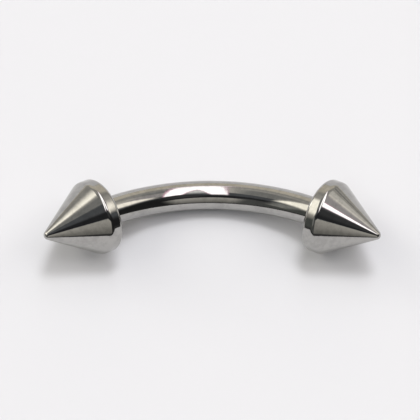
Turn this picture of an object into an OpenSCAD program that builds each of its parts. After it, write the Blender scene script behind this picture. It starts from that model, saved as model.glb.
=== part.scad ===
// Curved barbell with a cone on each end: a bent steel bar whose threaded posts carry two screw-on cones.
// It lies on its side, on the crown of the bend and on the back rims of the two cones, and the tips stand clear.
// Every size is in millimetres. The origin is the middle of the footprint, on the surface it lies on.
// +X runs from the left tip to the right tip, +Y towards the crown of the bend, and +Z up.

/* [Bar] */
// Diameter of the bar
bar_d = 1.2; // [1.1:0.05:1.3]
// Radius of the bend, to the middle of the bar
bend_r = 7.6; // [6.8:0.1:9]
// Angle of the bend from its crown to each end, in degrees
half_bend = 35.5; // [32:0.5:39]
// Straight length of bar that shows between the bend and each cone
straight_len = 0.1; // [0.05:0.05:0.3]

/* [Cones] */
// Diameter of each cone
cone_d = 3.1; // [2.9:0.05:3.4]
// Width of the round band behind each cone
band_w = 0.52; // [0.45:0.01:0.7]
// Angle between opposite sides of a cone, in degrees
cone_angle = 64; // [60:0.2:66]
// Rounding of the band's back edge
back_round = 0.15; // [0.05:0.01:0.2]
// Rounding between the band and the cone
shoulder_round = 0.35; // [0.1:0.01:0.45]
// Radius of the blunted tip
tip_r = 0.2; // [0.1:0.01:0.3]
// Diameter of the countersink in each cone's back face
mouth_d = 1.7; // [1.5:0.05:1.9]

/* [Thread] */
// Outer diameter of the threaded posts
post_d = 1.12; // [1.04:0.01:1.12]
// Depth of the grooves in the posts
thread_depth = 0.12; // [0.06:0.01:0.15]
// Distance from one groove to the next
thread_pitch = 0.25; // [0.2:0.01:0.25]
// Number of grooves on each post
thread_grooves = 4; // [2:1:4]
// Gap between a post and its hole, all round
post_gap = 0.02; // [0.01:0.005:0.03]
// Gap where the bar's shoulder meets the countersink
seat_gap = 0.03; // [0.02:0.01:0.05]
// Free depth beyond the end of each post
end_gap = 0.1; // [0.05:0.05:0.15]

/* [Hidden] */
facets = 96;
bar_r = bar_d / 2;
cone_r = cone_d / 2;
post_r = post_d / 2;
hole_r = post_r + post_gap;
mouth_r = mouth_d / 2;
half_angle = cone_angle / 2;

// Heights along a cone's axis, from its back face towards its tip
apex_z = band_w + cone_r / tan(half_angle);
tip_z = apex_z - tip_r / sin(half_angle);
shoulder_cut = shoulder_round * tan(half_angle / 2);
seat_z = mouth_r - bar_r - seat_gap;
neck_len = thread_pitch / 2;
crest_w = thread_pitch / 8;
root_w = thread_pitch / 4;
flank_w = (thread_pitch - crest_w - root_w) / 2;
post_chamfer = thread_depth;
thread_z = seat_z + neck_len;
post_z = thread_z + thread_grooves * thread_pitch + post_chamfer;
hole_z = post_z + end_gap;

// The tilt at which the crown and both back rims touch the surface: (drop * s + a)^2 = b^2 * (1 - (k * s)^2)
drop = bend_r * (1 - cos(half_bend)) + (straight_len + back_round) * sin(half_bend);
rim_ring_r = cone_r - back_round;
crown_ring_r = bar_r - back_round;
tilt_square = pow(drop, 2) + pow(rim_ring_r * sin(half_bend), 2);
tilt_linear = drop * crown_ring_r;
tilt_constant = pow(rim_ring_r, 2) - pow(crown_ring_r, 2);
tilt = asin((sqrt(pow(tilt_linear, 2) + tilt_square * tilt_constant) - tilt_linear) / tilt_square);
lift = bend_r * sin(tilt) + bar_r;

// The nearest point, in Y, of a ring of tube radius tube_r and radius ring_r at height z on a cone's axis
function axis_y(z) = (bend_r * cos(half_bend) - (straight_len + z) * sin(half_bend)) * cos(tilt);
function ring_lean() = sqrt(1 - pow(sin(half_bend) * cos(tilt), 2));
function ring_low_y(z, ring_r, tube_r) = axis_y(z) - ring_r * ring_lean() - tube_r;
shoulder_low_y = ring_low_y(band_w - shoulder_cut, cone_r - shoulder_round, shoulder_round);
tip_low_y = ring_low_y(tip_z, 0, tip_r);
crown_high_y = bend_r * cos(tilt) + bar_r;
middle_y = (crown_high_y + min(shoulder_low_y, tip_low_y)) / 2;

// Lays a shape drawn in the plane of the bend down onto the surface
module lie_down() {
    translate([0, -middle_y, lift])
        rotate([-tilt, 0, 0])
            children();
}

// Puts a shape that stands on +Z at the right end of the bend, pointing along the cone's axis
module at_right_end() {
    rotate([0, 0, -half_bend])
        translate([0, bend_r, 0])
            rotate([0, 90, 0])
                children();
}

// The same at the left end
module at_left_end() {
    mirror([1, 0, 0])
        at_right_end()
            children();
}

// What a convex corner loses when it is rounded: the wedge between two normals, outside the rounding circle
module rounding(centre, radius, from_angle, to_angle) {
    middle_angle = (from_angle + to_angle) / 2;
    reach = 1.5 * radius;
    corner_reach = reach / cos(to_angle - middle_angle);
    translate(centre)
        difference() {
            polygon([
                [0, 0],
                reach * [cos(from_angle), sin(from_angle)],
                corner_reach * [cos(middle_angle), sin(middle_angle)],
                reach * [cos(to_angle), sin(to_angle)]
            ]);
            circle(r = radius, $fn = facets);
        }
}

// Half section of a cone: across is the distance from its axis, and up is the height above its back face
module cone_section() {
    difference() {
        polygon([[0, 0], [cone_r, 0], [cone_r, band_w], [0, apex_z]]);
        rounding([cone_r - back_round, back_round], back_round, -90, 0);
        rounding([cone_r - shoulder_round, band_w - shoulder_cut], shoulder_round, 0, half_angle);
        rounding([0, tip_z], tip_r, half_angle, 180 - half_angle);
        polygon([[0, 0], [mouth_r, 0], [hole_r, mouth_r - hole_r], [hole_r, hole_z], [0, hole_z]]);
    }
}

module screw_cone() {
    rotate_extrude($fn = facets)
        cone_section();
}

// Half section of a bar end: the straight shoulder, a neck, the grooved post and its chamfered end
module end_section() {
    root_r = post_r - thread_depth;
    groove_points = [
        for (i = [0 : thread_grooves - 1])
            let (z = thread_z + i * thread_pitch)
                each [
                    [post_r, z],
                    [root_r, z + flank_w],
                    [root_r, z + flank_w + root_w],
                    [post_r, z + thread_pitch - crest_w]
                ]
    ];
    polygon(concat(
        [[0, -straight_len], [bar_r, -straight_len], [bar_r, seat_z], [post_r, seat_z]],
        groove_points,
        [[post_r, post_z - post_chamfer], [post_r - post_chamfer, post_z], [0, post_z]]
    ));
}

module bar_end() {
    translate([0, 0, straight_len])
        rotate_extrude($fn = facets)
            end_section();
}

module bend() {
    rotate([0, 0, 90 - half_bend])
        rotate_extrude(angle = 2 * half_bend, $fn = 4 * facets)
            translate([bend_r, 0])
                circle(r = bar_r, $fn = facets);
}

module curved_bar() {
    color("silver")
        lie_down() {
            bend();
            at_left_end() bar_end();
            at_right_end() bar_end();
        }
}

module left_cone() {
    color("gainsboro")
        lie_down()
            at_left_end()
                translate([0, 0, straight_len])
                    screw_cone();
}

module right_cone() {
    color("gainsboro")
        lie_down()
            at_right_end()
                translate([0, 0, straight_len])
                    screw_cone();
}

curved_bar();
left_cone();
right_cone();
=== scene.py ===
# Curved barbell of polished steel with a cone on each end, lying on a pale surface in soft studio light.
import math

import bpy
from mathutils import Matrix, Vector


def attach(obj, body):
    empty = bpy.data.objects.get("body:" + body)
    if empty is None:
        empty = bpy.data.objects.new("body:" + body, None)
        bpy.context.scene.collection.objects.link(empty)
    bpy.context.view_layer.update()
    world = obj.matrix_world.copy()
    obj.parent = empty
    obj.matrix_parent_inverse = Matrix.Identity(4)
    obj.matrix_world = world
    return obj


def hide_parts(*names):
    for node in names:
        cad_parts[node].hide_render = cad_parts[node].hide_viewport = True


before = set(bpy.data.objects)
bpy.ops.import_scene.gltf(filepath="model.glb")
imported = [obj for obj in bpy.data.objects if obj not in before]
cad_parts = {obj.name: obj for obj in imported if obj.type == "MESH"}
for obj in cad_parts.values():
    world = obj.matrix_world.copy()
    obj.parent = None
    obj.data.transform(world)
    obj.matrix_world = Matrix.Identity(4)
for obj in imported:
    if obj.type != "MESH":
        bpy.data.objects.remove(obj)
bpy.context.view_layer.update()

MM = 0.001

# The part's own sizes, in millimetres and degrees
BAR_D, BEND_R, HALF_BEND, STRAIGHT_LEN = 1.2, 7.6, 35.5, 0.1
CONE_D, BAND_W, CONE_ANGLE = 3.1, 0.52, 64.0
BACK_ROUND, SHOULDER_ROUND, TIP_R, MOUTH_D = 0.15, 0.35, 0.2, 1.7
POST_D, THREAD_DEPTH, THREAD_PITCH, THREAD_GROOVES = 1.12, 0.12, 0.25, 4
POST_GAP, SEAT_GAP, END_GAP = 0.02, 0.03, 0.1

# What follows from them, with the angles in radians and the heights counted from a cone's back face to its tip
BAR_R, CONE_R, POST_R, MOUTH_R = BAR_D / 2, CONE_D / 2, POST_D / 2, MOUTH_D / 2
HOLE_R = POST_R + POST_GAP
ROOT_R = POST_R - THREAD_DEPTH
HALF_ANGLE = math.radians(CONE_ANGLE / 2)
BEND = math.radians(HALF_BEND)
APEX_Z = BAND_W + CONE_R / math.tan(HALF_ANGLE)
TIP_Z = APEX_Z - TIP_R / math.sin(HALF_ANGLE)
SHOULDER_CUT = SHOULDER_ROUND * math.tan(HALF_ANGLE / 2)
SEAT_Z = MOUTH_R - BAR_R - SEAT_GAP
CREST_W, ROOT_W = THREAD_PITCH / 8, THREAD_PITCH / 4
FLANK_W = (THREAD_PITCH - CREST_W - ROOT_W) / 2
THREAD_Z = SEAT_Z + THREAD_PITCH / 2
POST_Z = THREAD_Z + THREAD_GROOVES * THREAD_PITCH + THREAD_DEPTH
HOLE_Z = POST_Z + END_GAP

# How finely the meshes are divided: round the axes, along the bend, across each rounding and along the straights
CONE_AROUND, BAR_AROUND, BEND_STEPS = 256, 128, 220
TIP_STEPS, SHOULDER_STEPS, BACK_STEPS = 14, 14, 12
FLANK_STEPS, BAND_STEPS, FACE_STEPS, MOUTH_STEPS, HOLE_STEPS = 8, 3, 3, 2, 4

QUARTER = math.pi / 2
FULL = 2 * math.pi
TINY = 1e-7


def lie_down():
    """The matrix, in millimetres, that lays the plane of the bend down.

    It turns the barbell until the crown of the bend and both back rims touch the surface.
    """
    drop = BEND_R * (1 - math.cos(BEND)) + (STRAIGHT_LEN + BACK_ROUND) * math.sin(BEND)
    rim, crown = CONE_R - BACK_ROUND, BAR_R - BACK_ROUND
    square = drop**2 + (rim * math.sin(BEND)) ** 2
    linear = drop * crown
    tilt = math.asin((math.sqrt(linear**2 + square * (rim**2 - crown**2)) - linear) / square)
    lean = math.sqrt(1 - (math.sin(BEND) * math.cos(tilt)) ** 2)

    def axis_y(z):
        return (BEND_R * math.cos(BEND) - (STRAIGHT_LEN + z) * math.sin(BEND)) * math.cos(tilt)

    shoulder_y = axis_y(BAND_W - SHOULDER_CUT) - (CONE_R - SHOULDER_ROUND) * lean - SHOULDER_ROUND
    tip_y = axis_y(TIP_Z) - TIP_R
    crown_y = BEND_R * math.cos(tilt) + BAR_R
    middle_y = (crown_y + min(shoulder_y, tip_y)) / 2
    lift = BEND_R * math.sin(tilt) + BAR_R
    return Matrix.Translation((0, -middle_y, lift)) @ Matrix.Rotation(-tilt, 4, "X")


LAID = lie_down()
LAID_TURN = LAID.to_3x3()


def end_frame(side):
    """The middle of a cone's back face and its axis, in the plane of the bend. Side is -1 left, 1 right."""
    axis = Vector((side * math.cos(BEND), -math.sin(BEND), 0))
    middle = Vector((side * BEND_R * math.sin(BEND), BEND_R * math.cos(BEND), 0)) + STRAIGHT_LEN * axis
    return middle, axis


# Meshes

def arc(centre, radius, start, end, steps):
    """Points on a circle in a half section: (across, up, normal across, normal up)."""
    found = []
    for k in range(steps + 1):
        a = start + (end - start) * k / steps
        n = (math.cos(a), math.sin(a))
        found.append((centre[0] + radius * n[0], centre[1] + radius * n[1], n[0], n[1]))
    return found


def line(a, b, steps):
    """The same for a straight edge, in a half section that is walked from the tip down its outside."""
    run, rise = b[0] - a[0], b[1] - a[1]
    length = math.hypot(run, rise)
    n = (-rise / length, run / length)
    return [(a[0] + run * k / steps, a[1] + rise * k / steps, *n) for k in range(steps + 1)]


def smooth_mesh(name, points, faces, normals):
    """A mesh with a normal of its own at each corner of each face."""
    mesh = bpy.data.meshes.new(name)
    mesh.from_pydata([tuple(p) for p in points], [], faces)
    mesh.polygons.foreach_set("use_smooth", [True] * len(mesh.polygons))
    mesh.normals_split_custom_set([tuple(n) for n in normals])
    mesh.update()
    return mesh


def ring_face(corners, middle_step, normal_at):
    """One face between two rings, as its points and its normals.

    A corner is (the ring's first point, its number of points, the step round it, what normal_at needs).
    A ring of a single point makes the face a triangle, with its normal taken at middle_step.
    """
    face, normals = [], []
    for first, count, step, *rest in corners:
        v = first + (step if count > 1 else 0)
        if v in face:
            continue
        face.append(v)
        normals.append(normal_at(step if count > 1 else middle_step, *rest))
    return face, normals


def cone_edges():
    """The half section of a cone, from its tip down the outside and up the hole."""
    tip = arc((0, TIP_Z), TIP_R, QUARTER, HALF_ANGLE, TIP_STEPS)
    tip[0] = (0.0, *tip[0][1:])
    shoulder_middle = (CONE_R - SHOULDER_ROUND, BAND_W - SHOULDER_CUT)
    shoulder = arc(shoulder_middle, SHOULDER_ROUND, HALF_ANGLE, 0, SHOULDER_STEPS)
    back = arc((CONE_R - BACK_ROUND, BACK_ROUND), BACK_ROUND, 0, -QUARTER, BACK_STEPS)
    mouth, hole = (MOUTH_R, 0), (HOLE_R, MOUTH_R - HOLE_R)
    bottom, bottom_middle = (HOLE_R, HOLE_Z), (0, HOLE_Z)
    return [
        tip,
        line(tip[-1][:2], shoulder[0][:2], FLANK_STEPS),
        shoulder,
        line(shoulder[-1][:2], back[0][:2], BAND_STEPS),
        back,
        line(back[-1][:2], mouth, FACE_STEPS),
        line(mouth, hole, MOUTH_STEPS),
        line(hole, bottom, HOLE_STEPS),
        line(bottom, bottom_middle, FACE_STEPS),
    ]


def cone_mesh(name, side):
    """A closed cone: its half section turned about its axis, with a shared ring where two edges meet."""
    middle, axis = end_frame(side)
    up = Vector((0, 0, 1))
    aside = axis.cross(up)
    points, rings, faces, normals = [], {}, [], []

    def outward(step):
        angle = FULL * step / CONE_AROUND
        return math.cos(angle) * up + math.sin(angle) * aside

    def ring(r, z):
        key = (round(r, 6), round(z, 6))
        if key not in rings:
            count = 1 if r < TINY else CONE_AROUND
            rings[key] = (len(points), count)
            points.extend(LAID @ (middle + r * outward(k) + z * axis) * MM for k in range(count))
        return rings[key]

    def normal_at(step, across, along):
        return LAID_TURN @ (across * outward(step) + along * axis)

    for edge in cone_edges():
        for (r0, z0, *n0), (r1, z1, *n1) in zip(edge, edge[1:]):
            low, high = ring(r0, z0), ring(r1, z1)
            for k in range(CONE_AROUND):
                j = (k + 1) % CONE_AROUND
                corners = [(*low, k, *n0), (*high, k, *n1), (*high, j, *n1), (*low, j, *n0)]
                face, found = ring_face(corners, k + 0.5, normal_at)
                faces.append(face)
                normals.extend(found)
    return smooth_mesh(name, points, faces, normals)


def post_section():
    """A bar end's rings from the end of its grooved post to its shoulder: (radius, height)."""
    section = [(0, POST_Z), (ROOT_R, POST_Z), (POST_R, POST_Z - THREAD_DEPTH)]
    for k in reversed(range(THREAD_GROOVES)):
        z = THREAD_Z + k * THREAD_PITCH
        section += [
            (POST_R, z + THREAD_PITCH - CREST_W),
            (ROOT_R, z + FLANK_W + ROOT_W),
            (ROOT_R, z + FLANK_W),
            (POST_R, z),
        ]
    return section + [(POST_R, SEAT_Z), (BAR_R, SEAT_Z)]


def bar_stations():
    """Every ring of the bar from left to right: (middle, direction, radius), and which spans are the bend."""
    (left_middle, left_axis), (right_middle, right_axis) = end_frame(-1), end_frame(1)
    left = [(left_middle + z * left_axis, -left_axis, r) for r, z in post_section()]
    right = [(right_middle + z * right_axis, right_axis, r) for r, z in reversed(post_section())]
    bend = []
    for k in range(BEND_STEPS + 1):
        a = -BEND + 2 * BEND * k / BEND_STEPS
        middle = BEND_R * Vector((math.sin(a), math.cos(a), 0))
        bend.append((middle, Vector((math.cos(a), -math.sin(a), 0)), BAR_R))
    return left + bend + right, range(len(left), len(left) + BEND_STEPS)


def bar_mesh(name):
    """The bar as one closed mesh: the two ends are turned, and the bend is swept between them."""
    stations, bent = bar_stations()
    up = Vector((0, 0, 1))
    points, rings, faces, normals = [], [], [], []

    def outward(step, direction):
        angle = FULL * step / BAR_AROUND
        return math.cos(angle) * up + math.sin(angle) * up.cross(direction).normalized()

    for middle, direction, r in stations:
        count = 1 if r < TINY else BAR_AROUND
        rings.append((len(points), count))
        points.extend(LAID @ (middle + r * outward(k, direction)) * MM for k in range(count))

    for s in range(len(stations) - 1):
        (middle0, d0, r0), (middle1, d1, r1) = stations[s], stations[s + 1]
        run, rise = (middle1 - middle0).length, r1 - r0
        slope = math.hypot(run, rise)

        def normal_at(step, direction):
            out = outward(step, direction)
            return LAID_TURN @ (out if s in bent else (run * out - rise * direction) / slope)

        for k in range(BAR_AROUND):
            j = (k + 1) % BAR_AROUND
            corners = [(*rings[s], k, d0), (*rings[s + 1], k, d1), (*rings[s + 1], j, d1), (*rings[s], j, d0)]
            face, found = ring_face(corners, k + 0.5, normal_at)
            faces.append(face)
            normals.extend(found)
    return smooth_mesh(name, points, faces, normals)


def added(name, data):
    obj = bpy.data.objects.new(name, data)
    bpy.context.scene.collection.objects.link(obj)
    return obj


# Materials

class Nodes:
    """Short ways to add nodes to a tree."""

    def __init__(self, tree):
        self.tree = tree

    def add(self, kind, **settings):
        node = self.tree.nodes.new(kind)
        for key, value in settings.items():
            setattr(node, key, value)
        return node

    def link(self, a, b):
        self.tree.links.new(a, b)

    def math(self, operation, *inputs):
        node = self.add("ShaderNodeMath", operation=operation)
        for k, x in enumerate(inputs):
            if isinstance(x, (int, float)):
                node.inputs[k].default_value = x
            else:
                self.link(x, node.inputs[k])
        return node.outputs[0]

    def product(self, *factors):
        result = factors[0]
        for factor in factors[1:]:
            result = self.math("MULTIPLY", result, factor)
        return result

    def blend(self, a, b, share):
        """Two values added up, of which a has the given share."""
        return self.math("ADD", self.product(a, share), self.product(b, 1 - share))

    def smooth(self, x, low, high, to_low=0.0, to_high=1.0):
        node = self.add("ShaderNodeMapRange", interpolation_type="SMOOTHSTEP")
        self.link(x, node.inputs["Value"])
        for key, value in (("From Min", low), ("From Max", high), ("To Min", to_low), ("To Max", to_high)):
            node.inputs[key].default_value = value
        return node.outputs["Result"]

    def rise(self, x, edge, soft):
        return self.smooth(x, edge - soft, edge + soft)

    def fall(self, x, edge, soft):
        return self.smooth(x, edge - soft, edge + soft, 1, 0)

    def mix(self, factor, a, b):
        node = self.add("ShaderNodeMix", data_type="RGBA")
        for key, x in ((0, factor), (6, a), (7, b)):
            if isinstance(x, tuple):
                node.inputs[key].default_value = (*x, 1)
            else:
                self.link(x, node.inputs[key])
        return node.outputs[2]


# The wear of the steel, as noises in the piece's own coordinates: (scale per metre, detail, roughness)
CLOUD, FLECK, FINE = (900, 3, 0.5), (4500, 3, 0.6), (9000, 2, 0.5)
CLOUD_IN_WEAR, CLOUD_IN_POLISH = 0.4, 0.6  # the cloud's share in each blend
WORN_FROM, WORN_TO = 0.42, 0.62  # where on the blended noise the wear sets in and is full
WORN_TONE = 0.86  # what is left of the tint where it is full
POLISH_FROM, POLISH_TO = 0.3, 0.7  # where on the blended noise the steel is smoothest and roughest
POLISH_SPREAD = 0.3  # how far the roughness strays from its mean, as a share of it
BUMP_STRENGTH, BUMP_HEIGHT = 0.15, 0.000008  # in metres
STEEL_TINT = (0.418, 0.411, 0.394)
PAPER_TINT = (0.737, 0.744, 0.78)


def steel(name, rough):
    """Mirror-polished steel: faintly worn in its tone and surface, with fine polishing marks in its roughness."""
    mat = bpy.data.materials.new(name)
    mat.use_nodes = True
    n = Nodes(mat.node_tree)
    shader = mat.node_tree.nodes["Principled BSDF"]
    shader.inputs["Metallic"].default_value = 1.0
    where = n.add("ShaderNodeTexCoord").outputs["Object"]

    def noise(scale, detail, roughness):
        node = n.add("ShaderNodeTexNoise")
        n.link(where, node.inputs["Vector"])
        node.inputs["Scale"].default_value = scale
        node.inputs["Detail"].default_value = detail
        node.inputs["Roughness"].default_value = roughness
        return node.outputs["Fac"]

    cloud = noise(*CLOUD)
    worn = n.blend(cloud, noise(*FLECK), CLOUD_IN_WEAR)
    worn_tint = tuple(WORN_TONE * c for c in STEEL_TINT)
    n.link(n.mix(n.smooth(worn, WORN_FROM, WORN_TO), STEEL_TINT, worn_tint), shader.inputs["Base Color"])
    polish = n.blend(cloud, noise(*FINE), CLOUD_IN_POLISH)
    smoothest, roughest = (1 - POLISH_SPREAD) * rough, (1 + POLISH_SPREAD) * rough
    n.link(n.smooth(polish, POLISH_FROM, POLISH_TO, smoothest, roughest), shader.inputs["Roughness"])
    bump = n.add("ShaderNodeBump")
    bump.inputs["Strength"].default_value = BUMP_STRENGTH
    bump.inputs["Distance"].default_value = BUMP_HEIGHT
    n.link(worn, bump.inputs["Height"])
    n.link(bump.outputs["Normal"], shader.inputs["Normal"])
    return mat


def paper(name):
    """Matt paper, a little blue to offset the warm room."""
    mat = bpy.data.materials.new(name)
    mat.use_nodes = True
    shader = mat.node_tree.nodes["Principled BSDF"]
    shader.inputs["Base Color"].default_value = (*PAPER_TINT, 1)
    shader.inputs["Roughness"].default_value = 1.0
    shader.inputs["Specular IOR Level"].default_value = 0.0
    return mat


# The pieces

bar_steel = steel("bar_steel", 0.03)
cone_steel = steel("cone_steel", 0.025)

bar = added("polished_bar", bar_mesh("polished_bar"))
bar.data.materials.append(bar_steel)
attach(bar, "bar")
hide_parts("curved_bar")

for side, body in ((-1, "left_cone"), (1, "right_cone")):
    cone = added("polished_" + body, cone_mesh("polished_" + body, side))
    cone.data.materials.append(cone_steel)
    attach(cone, body)
    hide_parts(body)

# The surface it lies on, in metres

FLOOR_REACH = 0.3
floor_corners = [(x * FLOOR_REACH, y * FLOOR_REACH, 0) for x, y in ((-1, -1), (1, -1), (1, 1), (-1, 1))]
floor_mesh = bpy.data.meshes.new("floor")
floor_mesh.from_pydata(floor_corners, [], [(0, 1, 2, 3)])
floor = added("floor", floor_mesh)
floor.data.materials.append(paper("floor_paper"))

# Studio light

# Panels of the studio as they stand round the zenith, in degrees: x to the right and y away from the camera,
# each 90 at the horizon. A later panel hides an earlier one.
# (light, x range, y range, softness of the left, right, near and far edge, lean: x per y)
PANELS = [
    ((0.44, 0.43, 0.40), (-300, 300), (-300, 300), (1, 1, 1, 1), 0),  # the room
    ((0.80, 0.74, 0.63), (-35, 40), (59, 300), (8, 8, 7, 1), 0),  # its far side
    ((0.69, 0.66, 0.61), (-54, 60), (-3, 43.5), (8, 8, 5, 11.5), -0.09),  # the ceiling
    ((0.47, 0.45, 0.41), (-300, -50), (-58, 89), (6, 6, 9, 9), 0),  # left wall
    ((0.54, 0.52, 0.48), (45.5, 300), (-64, 87), (6, 6, 9, 9), 0),  # right wall
    ((0.56, 0.54, 0.50), (-90, 60), (-290, -41.2), (10, 10, 1, 1.5), 0),  # front wall
    ((0.22, 0.215, 0.20), (-88, 60), (-300, -64), (10, 10, 1, 23), 0),  # its foot
    ((0.12, 0.127, 0.137), (-46, 82), (-41.3, 0.5), (12, 11, 1.2, 4), -0.12),  # black-out cloth
    ((0.030, 0.031, 0.034), (-46, 80), (-40, -22), (12, 11, 1.2, 5), -0.12),  # its fold
    ((0.065, 0.066, 0.069), (8, 34), (-32, -12), (4, 8, 6, 3), 0),  # its darker right half
    ((0.024, 0.024, 0.025), (28, 90), (-88, -14), (7, 9, 6, 7), -0.06),  # black flag, right
    ((0.33, 0.335, 0.32), (-60, -35), (-46, -20), (6, 5, 5, 6), 0),  # grey flag, left
    ((0.11, 0.115, 0.11), (-60, -24), (-300, -49), (6, 7, 8, 6), 0),  # its dark foot
    ((0.11, 0.113, 0.11), (-37, -17), (-300, -35), (5, 6, 6, 4), 0),  # its dark right half
    ((0.105, 0.112, 0.105), (-90, -54), (-78, -17), (6, 5, 6, 6), -0.07),  # dark flag, left
    ((0.23, 0.23, 0.23), (38, 90), (51, 54), (3, 8, 1.5, 1.5), 0.1),  # three dark battens, far right
    ((0.20, 0.20, 0.20), (40, 90), (61, 64.5), (3, 8, 1.5, 1.5), 0.1),
    ((0.26, 0.26, 0.26), (44, 90), (73, 76.5), (3, 8, 1.5, 1.5), 0.1),
    ((2.05, 1.97, 1.75), (-53, -30.3), (-11, 39), (4, 2.5, 8, 12.5), 0.02),  # left light
    ((3.7, 3.55, 3.25), (-61, -35.5), (22, 41), (6, 2.2, 7, 16), -0.31),  # its far end
    ((1.84, 1.74, 1.57), (29.8, 50.5), (-5, 27), (4, 5, 7.5, 11), 0.13),  # right light
    ((0.88, 0.85, 0.79), (17.5, 34), (30, 43), (2.5, 4, 4, 2.5), 0.59),  # its dim edge
    ((1.00, 0.96, 0.91), (33, 59), (24, 42), (4, 4, 4, 4), 0.59),  # its far end
    ((0.31, 0.31, 0.30), (-29, -9.7), (-1, 38), (3.8, 4, 4, 7), 0.10),  # grey gap, left
    ((0.54, 0.51, 0.52), (15, 28.5), (3, 26), (5, 3, 6, 4), 0.26),  # grey gap, right
    ((0.33, 0.33, 0.33), (6, 24), (24, 45), (5, 5, 5, 9), 0),  # grey gap, far right
    ((1.20, 1.20, 1.20), (3, 14), (-2, 40), (3, 3, 14, 6), -0.10),  # glow between the lamp's legs
    ((1.20, 0.80, 0.98), (-5.4, 4.7), (-15, 49), (0.9, 0.9, 7, 14), 0.10),  # pink rim of the left leg
    ((1.30, 0.76, 0.98), (13.2, 24.2), (-8, 49), (0.9, 0.9, 2.5, 14), -0.285),  # pink rim of the right leg
    ((2.8, 2.8, 2.8), (-4.7, 4.0), (-15, 48.5), (0.9, 0.9, 8, 14), 0.10),  # the forked lamp's left leg
    ((2.8, 2.8, 2.8), (14.0, 23.2), (-7.5, 48.5), (0.9, 0.9, 2.5, 14), -0.285),  # and its right leg
]
# Rings above the horizon, each on one side of a y: (light, degrees from the zenith, its softness, y, its softness)
DARK_RING_NEAR = ((0.065, 0.065, 0.065), 83.3, 1.5, -39, 10)
PALE_RING_FAR = ((0.77, 0.74, 0.67), 85.2, 1.5, 20, 15)
LIGHT = 1.10

world = bpy.data.worlds.new("studio")
bpy.context.scene.world = world
world.use_nodes = True
w = Nodes(world.node_tree)
way = w.add("ShaderNodeSeparateXYZ")
w.link(w.add("ShaderNodeTexCoord").outputs["Generated"], way.inputs[0])
dx, dy, dz = way.outputs
level = w.math("SQRT", w.math("ADD", w.product(dx, dx), w.product(dy, dy)))
level = w.math("MAXIMUM", level, 1e-4)
height = w.math("MINIMUM", w.math("MAXIMUM", dz, -1.0), 1.0)
from_zenith = w.product(w.math("ARCCOSINE", height), 180 / math.pi)
px = w.product(w.math("DIVIDE", dx, level), from_zenith)
py = w.product(w.math("DIVIDE", dy, level), from_zenith)

shown = (0.0, 0.0, 0.0)
for light, (x0, x1), (y0, y1), (soft_left, soft_right, soft_near, soft_far), lean in PANELS:
    across = w.math("SUBTRACT", px, w.product(py, lean)) if lean else px
    sides = w.product(w.rise(across, x0, soft_left), w.fall(across, x1, soft_right))
    ends = w.product(w.rise(py, y0, soft_near), w.fall(py, y1, soft_far))
    shown = w.mix(w.product(sides, ends), shown, light)
for (light, radius, soft, y, soft_y), edge in ((DARK_RING_NEAR, w.fall), (PALE_RING_FAR, w.rise)):
    mask = w.product(w.rise(from_zenith, radius, soft), edge(py, y, soft_y))
    shown = w.mix(mask, shown, light)
background = world.node_tree.nodes["Background"]
w.link(shown, background.inputs["Color"])
background.inputs["Strength"].default_value = LIGHT

# Soft round lamps for the paper, since the panels are all that the steel reflects:
# (name, way from the middle, diameter in metres, watts)
LAMPS = [
    ("lamp_above", (0.07, 0.30, 1.0), 0.085, 0.36),
    ("lamp_left", (-0.30, -0.45, 1.0), 0.12, 0.09),
    ("lamp_right", (0.70, -0.15, 1.0), 0.12, 0.045),
]
LAMP_DISTANCE = 0.35
for name, toward, size, watts in LAMPS:
    lamp_data = bpy.data.lights.new(name, "AREA")
    lamp_data.shape = "DISK"
    lamp_data.size = size
    lamp_data.energy = watts
    lamp = added(name, lamp_data)
    toward = Vector(toward).normalized()
    lamp.location = LAMP_DISTANCE * toward
    lamp.rotation_euler = toward.to_track_quat("Z", "Y").to_euler()
    lamp.visible_glossy = False

# Camera, as fitted to the photo: where it stands in millimetres, and where its back and its right side point

CAMERA_AT = Vector((-3.930, -38.441, 92.364))
CAMERA_BACK = Vector((-0.039206, -0.389843, 0.920046)).normalized()
CAMERA_RIGHT = Vector((0.999231, -0.014933, 0.036253))
LENS, SENSOR = 206.5, 36

camera_data = bpy.data.cameras.new("camera")
camera_data.lens = LENS
camera_data.sensor_width = SENSOR
camera_data.clip_start = MM
camera = added("camera", camera_data)
right = (CAMERA_RIGHT - CAMERA_RIGHT.dot(CAMERA_BACK) * CAMERA_BACK).normalized()
turn = Matrix((right, CAMERA_BACK.cross(right), CAMERA_BACK)).transposed().to_4x4()
camera.matrix_world = Matrix.Translation(CAMERA_AT * MM) @ turn
bpy.context.scene.camera = camera

view = bpy.context.scene.view_settings
view.view_transform = "Standard"
view.look = "None"
view.exposure = 0
view.gamma = 1
